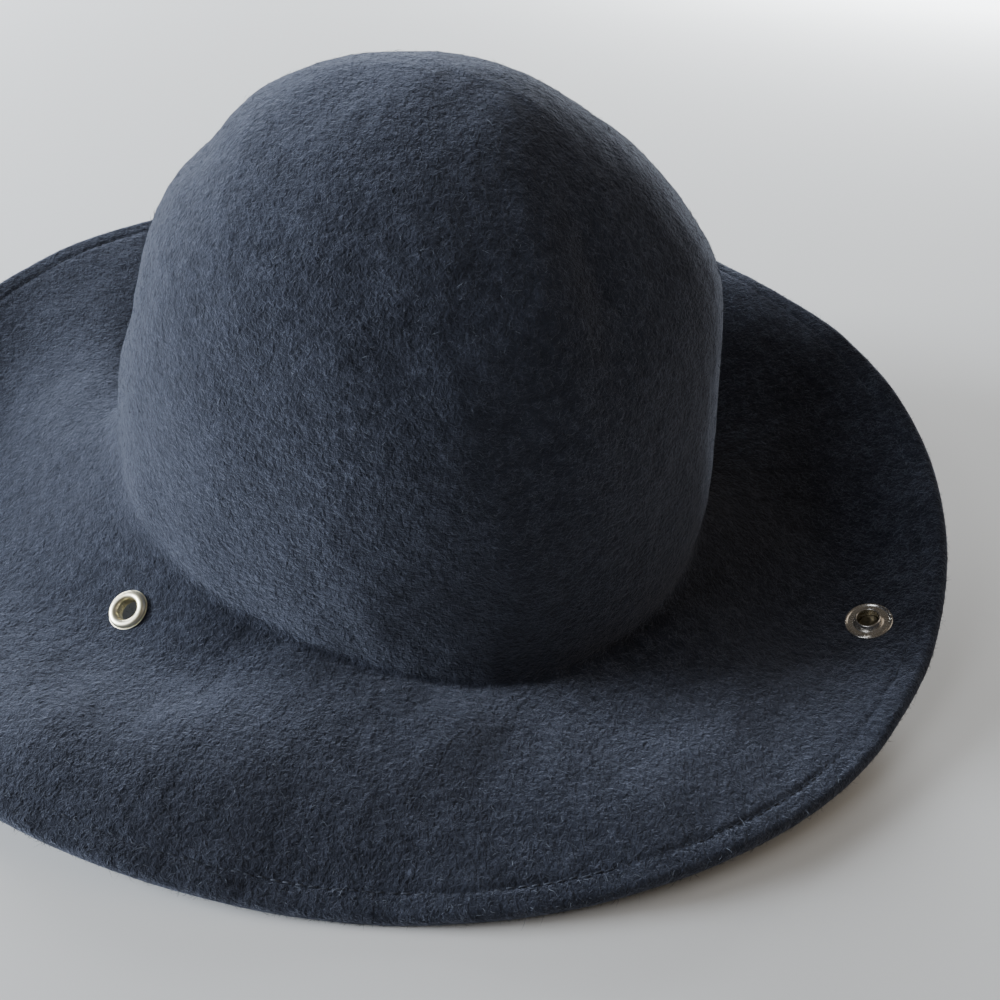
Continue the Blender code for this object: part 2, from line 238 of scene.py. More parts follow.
def crown_rings(angles, count):
    """Rings from near the top to CREASE_ROUND above the crease, evenly spaced along the outline."""
    first = CREASE_ROUND / (CROWN_TOP - crease_height(angles))
    turn = np.linspace(0, math.pi / 2, 400)
    fine = first.min() + (1 - first.min()) * np.sin(turn)
    across = crown_width_share(fine) * (CROWN_LENGTH + CROWN_WIDTH) / 4
    along = np.append(0, np.cumsum(np.hypot(np.diff(across), np.diff(fine) * CROWN_TOP)))
    even = np.interp(np.linspace(0, along[-1], count + 1)[:-1], along, fine)[::-1]
    spread = (even - even[-1]) / (1 - even[-1])
    rises = first[None, :] + (1 - first[None, :]) * spread[:, None]
    return crown(np.broadcast_to(angles, rises.shape), rises)


def crease_rings(angles, count):
    """The rounded crease: a quadratic curve from the wall to the brim, drawn to the sharp corner."""
    first_rise = CREASE_ROUND / (CROWN_TOP - crease_height(angles))
    wall = crown(angles, first_rise)
    corner = brim(angles, np.zeros(len(angles)))
    flat = brim(angles, np.full(len(angles), CREASE_ROUND / BRIM_WIDTH))
    t = np.linspace(0, 1, count + 2)[1:-1, None, None]
    return (1 - t) ** 2 * wall + 2 * t * (1 - t) * corner + t**2 * flat


def brim_rings(angles, shares):
    """One ring of the brim's top for each share of the way out."""
    grid = np.broadcast_to(shares[:, None], (len(shares), len(angles)))
    return brim(np.broadcast_to(angles, grid.shape), grid)


def ring_normals(rings):
    """Normals of a closed grid of rings, from its differences along and across the rings."""
    across = np.gradient(rings, axis=0)
    round_it = np.roll(rings, -1, axis=1) - np.roll(rings, 1, axis=1)
    normal = np.cross(across, round_it)
    return normal / np.linalg.norm(normal, axis=-1, keepdims=True)


def unevenness(points, seed, shortest, longest, count=28):
    """A smooth random field: the mean of sine waves of random direction, length and phase."""
    rng = np.random.default_rng(seed)
    ways = rng.normal(size=(count, 3))
    ways /= np.linalg.norm(ways, axis=1, keepdims=True)
    lengths = rng.uniform(shortest, longest, count)
    phases = rng.uniform(0, 2 * math.pi, count)
    return np.sin(points @ (ways / lengths[:, None] * 2 * math.pi).T + phases).sum(-1) / math.sqrt(count)


def closed_sheet(name, rings, first_pole, last_pole):
    """A mesh of rings joined by quads, each end closed by triangles to its pole."""
    count, around = rings.shape[:2]
    points = np.concatenate([rings.reshape(-1, 3), [first_pole, last_pole]])
    index = np.arange(count * around).reshape(count, around)
    after = np.roll(index, -1, axis=1)
    quads = np.stack([index[:-1], index[1:], after[1:], after[:-1]], axis=-1).reshape(-1, 4)
    top = np.stack([np.full(around, count * around), index[0], after[0]], axis=-1)
    bottom = np.stack([np.full(around, count * around + 1), after[-1], index[-1]], axis=-1)
    data = bpy.data.meshes.new(name)
    data.from_pydata(points, [], [*quads.tolist(), *top.tolist(), *bottom.tolist()])
    data.polygons.foreach_set("use_smooth", np.ones(len(data.polygons), bool))
    piece = bpy.data.objects.new(name, data)
    bpy.context.scene.collection.objects.link(piece)
    return piece


def rest_shift():
    """The shift that puts the outline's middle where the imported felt's box has it, and the hem's
    lowest stretch on the floor."""
    low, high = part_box("felt_body")
    angles = np.linspace(0, 2 * math.pi, 361)[:-1]
    one = np.ones(len(angles))
    up, out = brim_frame(angles, one)
    edge = brim(angles, one) - FOLD_RADIUS * up + FOLD_RADIUS * out
    middle = (edge.min(axis=0) + edge.max(axis=0)) / 2
    lowest = 1.0
    for share in np.linspace(1 - HEM_WIDTH / BRIM_WIDTH, 1, 6):
        up, _ = brim_frame(angles, share * one)
        lowest = min(lowest, (brim(angles, share * one) - 2 * FOLD_RADIUS * up)[:, 2].min())
    return np.array([(low[0] + high[0]) / 2 - middle[0], (low[1] + high[1]) / 2 - middle[1], -lowest])


ANGLES = np.arange(FELT_COLUMNS) * 2 * math.pi / FELT_COLUMNS
SHIFT = rest_shift()
hem_start = 1 - (HEM_WIDTH + HEM_MARGIN) / BRIM_WIDTH
flap_end = 1 - (HEM_WIDTH - FOLD_RADIUS) / BRIM_WIDTH
stitch_share = 1 - (STITCH_INSET - FOLD_RADIUS) / BRIM_WIDTH
plain_shares = np.linspace(CREASE_ROUND / BRIM_WIDTH, hem_start, BRIM_RINGS)
hem_shares = np.linspace(hem_start, 1, HEM_RINGS + 1)[1:]
top_shares = np.concatenate([plain_shares, hem_shares])
outside = np.concatenate([
    crown_rings(ANGLES, CROWN_RINGS), crease_rings(ANGLES, CREASE_RINGS), brim_rings(ANGLES, top_shares),
])
outside_normals = ring_normals(outside)
# The last ring has no neighbour beyond it, so its normal is the brim's own
outside_normals[-1] = brim_frame(ANGLES, np.ones(FELT_COLUMNS))[0]

distance_out = np.full(len(outside), -1.0)
distance_out[-len(top_shares):] = (top_shares - stitch_share) * BRIM_WIDTH
groove = np.where(distance_out > -1, np.exp(-((distance_out / GROOVE_HALF_WIDTH) ** 2)), 0)
relief = UNEVEN_LONG * unevenness(outside, 3, *LONG_WAVES)
relief += UNEVEN_SHORT * unevenness(outside, 5, *SHORT_WAVES)
relief -= GROOVE_DEPTH * groove[:, None] * (1 + GROOVE_VARIES * unevenness(outside, 9, *GROOVE_WAVES))
for place in (EYELET_PLACE, STUD_PLACE):
    spot = brim(np.array([math.radians(place[0])]), np.array([place[1]]))[0]
    away = np.linalg.norm(outside - spot, axis=-1)
    still = np.exp(-((away / (2 * FITTING_DIP_RADIUS)) ** 4))
    relief = relief * (1 - still) - FITTING_DIP * np.exp(-((away / FITTING_DIP_RADIUS) ** 6))
relief[-1] = relief[-2] = relief[-3]
outside = outside + outside_normals * relief[..., None]

edge_up, edge_out = outside_normals[-1], brim_frame(ANGLES, np.ones(FELT_COLUMNS))[1]
edge_middle = outside[-1] - FOLD_RADIUS * edge_up


def fold(radius, first, last, count):
    """Part of a tube round the brim's edge: its middle plus radius times cosine up and sine out."""
    turns = np.linspace(first, last, count)[:, None, None]
    return edge_middle + radius * (edge_up * np.cos(turns) + edge_out * np.sin(turns))


hem_under = outside[-HEM_RINGS - 1:][::-1]
hem_normals = outside_normals[-HEM_RINGS - 1:][::-1]
kept = np.linspace(1, HEM_RINGS * HEM_WIDTH / (HEM_WIDTH + HEM_MARGIN), FLAP_RINGS).astype(int)
flap_low = hem_under[kept] - 2 * FOLD_RADIUS * hem_normals[kept]
flap_high = hem_under[kept] - (FELT_WALL + HEM_GAP) * hem_normals[kept]
inward = (hem_under[kept[-1]] - hem_under[kept[-2]])
inward /= np.linalg.norm(inward, axis=-1, keepdims=True)
raw_middle = (flap_low[-1] + flap_high[-1]) / 2
raw_turns = np.linspace(0, math.pi, RAW_EDGE_RINGS + 2)[1:-1, None, None]
raw_edge = raw_middle + FELT_WALL / 2 * (
    hem_normals[kept[-1]] * -np.cos(raw_turns) + inward * np.sin(raw_turns))
under_index = np.unique(np.linspace(0, len(outside) - 2, UNDER_RINGS + CROWN_RINGS // 2).astype(int))[::-1]
inside = outside[under_index] - FELT_WALL * outside_normals[under_index]
felt_rings = np.concatenate([
    outside,
    fold(FOLD_RADIUS, 0, math.pi, FOLD_RINGS + 1)[1:],
    flap_low,
    raw_edge,
    flap_high[::-1],
    fold(HEM_GAP / 2, math.pi, 0, FOLD_RINGS // 2),
    inside,
])
# Felt that meets the floor is pressed flat by it
felt_rings[..., 2] = np.maximum(felt_rings[..., 2], -SHIFT[2])
crown_top = crown(np.zeros(1), np.ones(1))[0]
felt = closed_sheet(
    "felt_hat", felt_rings + SHIFT, crown_top + SHIFT, crown_top + SHIFT - [0, 0, FELT_WALL])


def fitting_frame(place):
    """A frame at a fitting's place on the brim: Z along the brim's normal, X outwards."""
    angle, share = np.array([math.radians(place[0])]), np.array([place[1]])
    up, out = brim_frame(angle, share)
    axis_z, axis_x = Vector(up[0]), Vector(out[0])
    turn = Matrix((axis_x, axis_z.cross(axis_x), axis_z)).transposed().to_4x4()
    return Matrix.Translation(Vector(brim(angle, share)[0] + SHIFT)) @ turn


def punch(place, radius):
    """Cuts a round hole square through the felt, with a many-sided plug that is then removed."""
    bpy.ops.mesh.primitive_cylinder_add(vertices=HOLE_SIDES, radius=radius, depth=6 * FELT_WALL)
    plug = bpy.context.object
    plug.data.transform(fitting_frame(place))
    cut = felt.modifiers.new("hole", "BOOLEAN")
    cut.operation = "DIFFERENCE"
    cut.solver = "EXACT"
    cut.object = plug
    bpy.context.view_layer.objects.active = felt
    bpy.ops.object.modifier_apply(modifier=cut.name)
    bpy.data.objects.remove(plug)


punch(EYELET_PLACE, EYELET_HOLE)
punch(STUD_PLACE, STUD_HOLE)


def new_group(name, inputs, outputs):
    """An empty shader node group with float or colour sockets, and its two end nodes."""
    group = bpy.data.node_groups.new(name, "ShaderNodeTree")
    for label, kind, value in inputs:
        socket = group.interface.new_socket(label, in_out="INPUT", socket_type=kind)
        socket.default_value = value
    for label, kind in outputs:
        group.interface.new_socket(label, in_out="OUTPUT", socket_type=kind)
    return group, group.nodes.new("NodeGroupInput"), group.nodes.new("NodeGroupOutput")


def add(tree, kind, settings=None, **inputs):
    """Adds a node, sets its properties, and sets or links its inputs by name."""
    node = tree.nodes.new(kind)
    for key, value in (settings or {}).items():
        setattr(node, key, value)
    for key, value in inputs.items():
        socket = node.inputs[int(key[1:])] if key[0] == "n" and key[1:].isdigit() else node.inputs[key]
        if isinstance(value, bpy.types.NodeSocket):
            tree.links.new(value, socket)
        else:
            socket.default_value = value
    return node


def maths(tree, operation, first, second=0.0):
    """One Math node's result."""
    return add(tree, "ShaderNodeMath", {"operation": operation}, n0=first, n1=second).outputs[0]


def ramp(tree, value, low, high):
    """Zero below low, one above high and smooth between them."""
    node = add(tree, "ShaderNodeMapRange", {"interpolation_type": "SMOOTHSTEP"}, Value=value)
    node.inputs["From Min"].default_value = low
    node.inputs["From Max"].default_value = high
    return node.outputs["Result"]


def bent_vector(group, vector, scale, amount):
    """The vector plus a share of a colour noise, less its mean, so that what it feeds looks curly."""
    noise = add(group, "ShaderNodeTexNoise", Vector=vector, Scale=scale, Detail=2.0)
    return add(group, "ShaderNodeMixRGB", {"blend_type": "LINEAR_LIGHT"}, Fac=amount, Color1=vector,
               Color2=noise.outputs["Color"]).outputs["Color"]


def hair_lines(group, vector, scale, thickness, breaks):
    """Thin curved lines where a noise crosses one half, broken up where the breaks are low."""
    noise = add(group, "ShaderNodeTexNoise", Vector=vector, Scale=scale, Detail=1.0, Roughness=0.4)
    ridge = maths(group, "ABSOLUTE", maths(group, "SUBTRACT", noise.outputs["Fac"], 0.5))
    return maths(group, "MULTIPLY", maths(group, "SUBTRACT", 1.0, ramp(group, ridge, 0.0, thickness)), breaks)


def felt_pile_group():
    """Pressed wool at four sizes. Clouds and clumps are noises a few millimetres wide. Curls are
    bent noise about a millimetre wide. Hairs are the thin crossings of two more. The pit shade is
    painted shade on the lowest places of the curls, which are the low places of the bump height."""
    group, start, end = new_group(
        "felt pile",
        [("Vector", "NodeSocketVector", (0, 0, 0)), ("Curl Scale", "NodeSocketFloat", 640.0)],
        [("Clumps", "NodeSocketFloat"), ("Hairs", "NodeSocketFloat"), ("Pit Shade", "NodeSocketFloat"),
         ("Height", "NodeSocketFloat")])
    vector = start.outputs["Vector"]
    curl_scale = start.outputs["Curl Scale"]
    bent = bent_vector(group, vector, 520.0, 0.0011)
    clouds = add(group, "ShaderNodeTexNoise", Vector=vector, Scale=170.0, Detail=2.0, Roughness=0.6)
    clumps = add(group, "ShaderNodeTexNoise", Vector=bent, Scale=330.0, Detail=2.0, Roughness=0.6)
    curls = add(group, "ShaderNodeTexNoise", Vector=bent, Scale=curl_scale, Detail=3.0, Roughness=0.68)
    fine_scale = maths(group, "MULTIPLY", curl_scale, 2.6)
    fine = add(group, "ShaderNodeTexNoise", Vector=bent, Scale=fine_scale, Detail=2.0, Roughness=0.6)
    breaks = ramp(group, clumps.outputs["Fac"], 0.46, 0.62)
    first = hair_lines(group, bent, 410.0, 0.030, breaks)
    second = hair_lines(group, bent_vector(group, vector, 700.0, 0.0009), 560.0, 0.034,
                        ramp(group, clouds.outputs["Fac"], 0.44, 0.60))
    hairs = maths(group, "MAXIMUM", first, second)
    pit_shade = maths(group, "SUBTRACT", 1.0, ramp(group, curls.outputs["Fac"], 0.32, 0.45))
    height = maths(group, "ADD", maths(group, "MULTIPLY", clumps.outputs["Fac"], 0.55), curls.outputs["Fac"])
    height = maths(group, "ADD", height, maths(group, "MULTIPLY", fine.outputs["Fac"], 0.22))
    height = maths(group, "ADD", height, maths(group, "MULTIPLY", clouds.outputs["Fac"], 0.5))
    height = maths(group, "ADD", height, maths(group, "MULTIPLY", hairs, 0.10))
    spread = maths(group, "ADD", maths(group, "MULTIPLY", clumps.outputs["Fac"], 0.55),
                   maths(group, "MULTIPLY", clouds.outputs["Fac"], 0.45))
    for label, value in (("Clumps", spread), ("Hairs", hairs), ("Pit Shade", pit_shade), ("Height", height)):
        group.links.new(value, end.inputs[label])
    return group


def felt_material():
    """Navy felt: dark wool, greyer clumps, pale blue-grey hairs, and near-black painted shade in the pits of
    the bump.
    """
    finish = bpy.data.materials.new("navy wool felt")
    finish.use_nodes = True
    tree = finish.node_tree
    shader = tree.nodes["Principled BSDF"]
    place = tree.nodes.new("ShaderNodeTexCoord").outputs["Object"]
    pile = add(tree, "ShaderNodeGroup", {"node_tree": felt_pile_group()}, Vector=place)
    wide = add(tree, "ShaderNodeTexNoise", Vector=place, Scale=22.0, Detail=3.0)
    mottled = add(tree, "ShaderNodeMix", {"data_type": "RGBA"},
                  Factor=ramp(tree, pile.outputs["Clumps"], 0.34, 0.66))
    mottled.inputs["A"].default_value = (0.0100, 0.0115, 0.0178, 1)
    mottled.inputs["B"].default_value = (0.0205, 0.0235, 0.0350, 1)
    worn = add(tree, "ShaderNodeMix", {"data_type": "RGBA"},
               Factor=maths(tree, "MULTIPLY", ramp(tree, wide.outputs["Fac"], 0.42, 0.72), 0.30))
    tree.links.new(mottled.outputs["Result"], worn.inputs["A"])
    worn.inputs["B"].default_value = (0.0240, 0.0265, 0.0380, 1)
    hairs = add(tree, "ShaderNodeMix", {"data_type": "RGBA"},
                Factor=maths(tree, "MULTIPLY", pile.outputs["Hairs"], 0.55))
    tree.links.new(worn.outputs["Result"], hairs.inputs["A"])
    hairs.inputs["B"].default_value = (0.080, 0.088, 0.118, 1)
    # Painted shade: near-black colour in the bump's low places, where shade would fall in the pits
    pit_shade_mix = add(tree, "ShaderNodeMix", {"data_type": "RGBA"},
                Factor=maths(tree, "MULTIPLY", pile.outputs["Pit Shade"], 0.75))
    tree.links.new(hairs.outputs["Result"], pit_shade_mix.inputs["A"])
    pit_shade_mix.inputs["B"].default_value = (0.0035, 0.0042, 0.0070, 1)
    tree.links.new(pit_shade_mix.outputs["Result"], shader.inputs["Base Color"])
    shader.inputs["Roughness"].default_value = 0.95
    shader.inputs["Specular IOR Level"].default_value = 0.10
    shader.inputs["Sheen Weight"].default_value = 0.30
    shader.inputs["Sheen Roughness"].default_value = 0.55
    shader.inputs["Sheen Tint"].default_value = (0.74, 0.80, 1.0, 1)
    bump = add(tree, "ShaderNodeBump", Height=pile.outputs["Height"], Strength=1.0, Distance=0.0011)
    tree.links.new(bump.outputs["Normal"], shader.inputs["Normal"])
    return finish


felt.data.materials.append(felt_material())
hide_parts("felt_body")
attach(felt, "root")


# The hem's stitches: one row of navy thread, sunk in its groove, right round the brim on both
# sides.

STITCH_LENGTH = 0.0026
STITCH_PITCH = 0.0033
STITCH_START_VARIES = 0.06
STITCH_LENGTHS = (0.85, 1.08)
STITCH_SWAY = 0.00012
THREAD_RADIUS = 0.00020
THREAD_BOW = 1.6
THREAD_SINK = 1.2
EDGE_STEPS = 2880
STITCH_SIDES = 6
STITCH_RINGS = 7


def edge_paths(share, depth):
    """A closed path round the brim at one share of the way out, depth below its top, with normals."""
    angles = np.linspace(0, 2 * math.pi, EDGE_STEPS + 1)[:-1]
    shares = np.full(len(angles), share)
    up, _ = brim_frame(angles, shares)
    return brim(angles, shares) - depth * up + SHIFT, up


def stitches(name, share, depth, side, seed):
    """Short bowed threads laid end to end on a path. Each is a tube whose middle rises as a half
    sine and whose radius closes at both ends, so that it goes into the felt. None is under the
    floor."""
    rng = np.random.default_rng(seed)
    path, up = edge_paths(share, depth)
    steps = np.linalg.norm(np.roll(path, -1, axis=0) - path, axis=1)
    along = np.append(0, np.cumsum(steps))
    path, up = np.vstack([path, path[:1]]), np.vstack([up, up[:1]]) * side
    count = int(along[-1] / STITCH_PITCH)
    early = rng.uniform(-STITCH_START_VARIES, STITCH_START_VARIES, count)
    starts = (np.arange(count) + early) * along[-1] / count
    t = np.linspace(0, 1, STITCH_RINGS)
    where = starts[:, None] + t * STITCH_LENGTH * rng.uniform(*STITCH_LENGTHS, count)[:, None]
    middle = np.stack([np.interp(where, along, path[:, axis], period=along[-1]) for axis in range(3)], -1)
    rise = np.stack([np.interp(where, along, up[:, axis], period=along[-1]) for axis in range(3)], -1)
    ahead = np.gradient(middle, axis=1)
    ahead /= np.linalg.norm(ahead, axis=-1, keepdims=True)
    beside = np.cross(rise, ahead)
    bow = (THREAD_RADIUS * THREAD_BOW * np.sin(math.pi * t) - THREAD_RADIUS * THREAD_SINK)[None, :, None]
    middle = middle + rise * bow + beside * (rng.normal(0, STITCH_SWAY, count)[:, None, None])
    turns = np.arange(STITCH_SIDES) * 2 * math.pi / STITCH_SIDES
    radius = THREAD_RADIUS * np.sqrt(np.clip(1 - (2 * t - 1) ** 6, 0.02, 1))
    ring = (np.cos(turns)[:, None] * beside[:, :, None, :] + np.sin(turns)[:, None] * rise[:, :, None, :])
    points = middle[:, :, None, :] + ring * radius[None, :, None, None]
    points[..., 2] = np.maximum(points[..., 2], 0.0)
    index = np.arange(points[..., 0].size).reshape(points.shape[:3])
    after = np.roll(index, -1, axis=2)
    quads = np.stack([index[:, :-1], after[:, :-1], after[:, 1:], index[:, 1:]], -1).reshape(-1, 4)
    caps = [*index[:, 0, ::-1].tolist(), *index[:, -1].tolist()]
    data = bpy.data.meshes.new(name)
    data.from_pydata(points.reshape(-1, 3), [], [*quads.tolist(), *caps])
    data.polygons.foreach_set("use_smooth", np.ones(len(data.polygons), bool))
    piece = bpy.data.objects.new(name, data)
    bpy.context.scene.collection.objects.link(piece)
    return piece


def thread_material():
    """Navy sewing thread, a little paler than the felt, with fine cross bands for its twist."""
    finish = bpy.data.materials.new("navy thread")
    finish.use_nodes = True
    tree = finish.node_tree
    shader = tree.nodes["Principled BSDF"]
    place = tree.nodes.new("ShaderNodeTexCoord").outputs["Object"]
    twist = add(tree, "ShaderNodeTexNoise", Vector=place, Scale=2600.0, Detail=1.0)
    patches = add(tree, "ShaderNodeTexNoise", Vector=place, Scale=60.0, Detail=1.0)
    worn = ramp(tree, patches.outputs["Fac"], 0.4, 0.7)
    tint = add(tree, "ShaderNodeMix", {"data_type": "RGBA"},
               Factor=maths(tree, "MULTIPLY", twist.outputs["Fac"], worn))
    tint.inputs["A"].default_value = (0.014, 0.017, 0.028, 1)
    tint.inputs["B"].default_value = (0.110, 0.125, 0.160, 1)
    tree.links.new(tint.outputs["Result"], shader.inputs["Base Color"])
    shader.inputs["Roughness"].default_value = 0.7
    bump = add(tree, "ShaderNodeBump", Height=twist.outputs["Fac"], Strength=0.5, Distance=0.0001)
    tree.links.new(bump.outputs["Normal"], shader.inputs["Normal"])
    return finish


thread = thread_material()
for name, depth, side, seed in (("hem_stitches_top", GROOVE_DEPTH, 1, 21),
                                ("hem_stitches_under", 2 * FOLD_RADIUS, -1, 22)):
    row = stitches(name, stitch_share, depth, side, seed)
    row.data.materials.append(thread)
    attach(row, "root")


# The eyelet: a pale brass tube with a domed ring above the felt, a thin lip at the ring's foot,
# and its end rolled out below.

EYELET_FLANGE_RADIUS = 0.0065
EYELET_BORE_RADIUS = 0.0034
EYELET_METAL = 0.0005
EYELET_CROWN = 0.0016
EYELET_ROLL_RADIUS = 0.0058
EYELET_ROLL = 0.0009
EYELET_LIP = 0.0003
EYELET_LIP_SLOPE = 0.00002
EYELET_ROUND = 0.00012
EYELET_FULLNESS = 0.8
FELT_SQUEEZE = 0.0001
TURNED_SIDES = 96
DOME_POINTS = 22


def turned(name, profile, place):
    """A closed profile of radius and height carried round the fitting's own Z axis."""
    profile = np.array(profile)
    turns = np.arange(TURNED_SIDES) * 2 * math.pi / TURNED_SIDES
    points = np.empty((len(profile), TURNED_SIDES, 3))
    points[..., 0] = profile[:, :1] * np.cos(turns)
    points[..., 1] = profile[:, :1] * np.sin(turns)
    points[..., 2] = profile[:, 1:]
    index = np.arange(len(profile) * TURNED_SIDES).reshape(len(profile), TURNED_SIDES)
    below, after = np.roll(index, -1, axis=0), np.roll(index, -1, axis=1)
    quads = np.stack([index, below, np.roll(below, -1, axis=1), after], axis=-1).reshape(-1, 4)
    data = bpy.data.meshes.new(name)
    data.from_pydata(points.reshape(-1, 3), [], quads.tolist())
    data.transform(fitting_frame(place))
    data.polygons.foreach_set("use_smooth", np.ones(len(data.polygons), bool))
    piece = bpy.data.objects.new(name, data)
    bpy.context.scene.collection.objects.link(piece)
    return piece


def rounded(corners, radius, count=4):
    """A closed outline with each corner replaced by a quadratic curve of about the given radius."""
    corners = np.array(corners)
    before, after = np.roll(corners, 1, axis=0), np.roll(corners, -1, axis=0)
    cut_before, cut_after = before - corners, after - corners
    for cut in (cut_before, cut_after):
        length = np.linalg.norm(cut, axis=1, keepdims=True)
        cut *= np.minimum(radius, 0.45 * length) / length
    t = np.linspace(0, 1, count + 1)[None, :, None]
    first, last = (corners + cut_before)[:, None], (corners + cut_after)[:, None]
    return ((1 - t) ** 2 * first + 2 * t * (1 - t) * corners[:, None] + t**2 * last).reshape(-1, 2)


def eyelet_outline():
    """From the bore up over a half-round ring, out to the thin lip, and down to the roll below."""
    seat, under = -FELT_SQUEEZE, -FELT_WALL + FELT_SQUEEZE
    barrel, rim = EYELET_BORE_RADIUS + EYELET_METAL, EYELET_FLANGE_RADIUS
    ring, lip = rim - EYELET_LIP, seat + EYELET_LIP
    turns = np.linspace(math.pi, 0, DOME_POINTS)
    half = (ring - EYELET_BORE_RADIUS) / 2
    height = (EYELET_CROWN - EYELET_LIP) * np.abs(np.sin(turns)) ** EYELET_FULLNESS
    dome = np.stack([EYELET_BORE_RADIUS + half + half * np.cos(turns), lip + height], axis=1)
    skirt = [(ring, lip - EYELET_LIP_SLOPE), (rim, lip - 2 * EYELET_LIP_SLOPE), (rim, seat),
             (barrel, seat), (barrel, under),
             (EYELET_ROLL_RADIUS, under), (EYELET_ROLL_RADIUS, under - 0.6 * EYELET_ROLL),
             (barrel, under - EYELET_ROLL), (EYELET_BORE_RADIUS, under - 0.5 * EYELET_ROLL)]
    return np.vstack([dome, rounded(skirt, EYELET_ROUND)])


def metal_group():
    """Handled metal: fine scratches from a stretched noise, and cloudy tarnish from a broad one."""
    group, start, end = new_group(
        "handled metal",
        [("Vector", "NodeSocketVector", (0, 0, 0)), ("Scratch Scale", "NodeSocketFloat", 1800.0)],
        [("Tarnish", "NodeSocketFloat"), ("Scratches", "NodeSocketFloat")])
    vector = start.outputs["Vector"]
    cloud = add(group, "ShaderNodeTexNoise", Vector=vector, Scale=420.0, Detail=3.0, Roughness=0.6)
    fine = add(group, "ShaderNodeTexNoise", Vector=vector, Scale=start.outputs["Scratch Scale"], Detail=4.0,
               Roughness=0.7, Distortion=1.5)
    group.links.new(ramp(group, cloud.outputs["Fac"], 0.40, 0.75), end.inputs["Tarnish"])
    group.links.new(ramp(group, fine.outputs["Fac"], 0.45, 0.70), end.inputs["Scratches"])
    return group


HANDLED_METAL = metal_group()


def metal(name, clean, tarnished, low_rough, high_rough, bump_distance):
    """A metal whose colour and roughness drift from clean to tarnished, with a scratched bump."""
    finish = bpy.data.materials.new(name)
    finish.use_nodes = True
    tree = finish.node_tree
    shader = tree.nodes["Principled BSDF"]
    place = tree.nodes.new("ShaderNodeTexCoord").outputs["Object"]
    wear = add(tree, "ShaderNodeGroup", {"node_tree": HANDLED_METAL}, Vector=place)
    colour = add(tree, "ShaderNodeMix", {"data_type": "RGBA"}, Factor=wear.outputs["Tarnish"])
    colour.inputs["A"].default_value = (*clean, 1)
    colour.inputs["B"].default_value = (*tarnished, 1)
    tree.links.new(colour.outputs["Result"], shader.inputs["Base Color"])
    rough = add(tree, "ShaderNodeMapRange", Value=wear.outputs["Scratches"])
    rough.inputs["To Min"].default_value = low_rough
    rough.inputs["To Max"].default_value = high_rough
    tree.links.new(rough.outputs["Result"], shader.inputs["Roughness"])
    shader.inputs["Metallic"].default_value = 1.0
    bump = add(tree, "ShaderNodeBump", Height=wear.outputs["Scratches"], Strength=0.4, Distance=bump_distance)
    tree.links.new(bump.outputs["Normal"], shader.inputs["Normal"])
    return finish


eyelet = turned("brass_eyelet", eyelet_outline(), EYELET_PLACE)
eyelet.data.materials.append(
    metal("pale brass", (0.88, 0.82, 0.62), (0.78, 0.70, 0.46), 0.34, 0.44, 0.00001))
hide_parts("brim_eyelet")
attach(eyelet, "root")


# The snap stud: a pressed nickel ring with a rolled outer lip, and a raised collar round its hole.

STUD_FLANGE_RADIUS = 0.0080
STUD_BORE_RADIUS = 0.0036
STUD_METAL = 0.0005
STUD_COLLAR = 0.0024
STUD_LIP = 0.0009
STUD_LIP_WIDTH = 0.0012
STUD_LIP_BEND = 0.0004
STUD_LIP_ROUND = 0.0002
STUD_TAPER = 0.0001
STUD_ROUND = 0.0003


def stud_outline():
    """From the bore over the collar's rounded top, down to the flat ring and out over the lip."""
    seat, under = -FELT_SQUEEZE, -FELT_WALL + FELT_SQUEEZE
    barrel, rim = STUD_BORE_RADIUS + STUD_METAL, STUD_FLANGE_RADIUS
    collar, flat = barrel + STUD_METAL, seat + STUD_METAL
    corners = [
        (STUD_BORE_RADIUS, seat + STUD_COLLAR), (barrel, seat + STUD_COLLAR),
        (collar - STUD_TAPER, seat + 0.6 * STUD_COLLAR), (collar + STUD_ROUND, flat),
        (rim - STUD_LIP_WIDTH, flat), (rim - STUD_LIP_WIDTH + STUD_LIP_BEND, seat + STUD_LIP),
        (rim - STUD_LIP_ROUND, seat + STUD_LIP), (rim, seat + 0.3 * STUD_LIP),
        (rim - STUD_LIP_ROUND, seat), (barrel, seat), (barrel, under),
        (STUD_BORE_RADIUS, under),
    ]
    return rounded(corners, STUD_ROUND, 6)


stud = turned("nickel_stud", stud_outline(), STUD_PLACE)
stud.data.materials.append(metal("nickel", (0.78, 0.75, 0.70), (0.62, 0.58, 0.53), 0.20, 0.36, 0.00001))
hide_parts("snap_stud")
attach(stud, "root")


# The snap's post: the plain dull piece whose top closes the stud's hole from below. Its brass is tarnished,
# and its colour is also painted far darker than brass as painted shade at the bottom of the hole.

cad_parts["snap_post"].data.materials.clear()
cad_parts["snap_post"].data.materials.append(
    metal("tarnished brass with painted shade", (0.20, 0.17, 0.11), (0.10, 0.085, 0.055), 0.45, 0.65, 0.00004))


# Loose fibres: short wool hairs that stand off the felt and make its edges soft, thicker on the
# crown and thinner on the brim.

FLOOR_TOUCH = 0.0002
ROOT_DEPTH = 0.00005
EDGE_RINGS = 12
PILE_COLUMNS = ("name", "first", "last", "count", "length", "width", "lift", "seed")
PILE = (
    ("crown_fibres", 0, CROWN_RINGS + CREASE_RINGS, 60000, 0.0013, 0.000045, 0.35, 31),
    ("brim_fibres", CROWN_RINGS + CREASE_RINGS, len(outside) - EDGE_RINGS, 60000, 0.0013, 0.000045, 0.30, 32),
    ("edge_fibres", len(outside) - EDGE_RINGS, len(outside) + FOLD_RINGS, 22000, 0.0014, 0.000045, 0.45, 33),
)


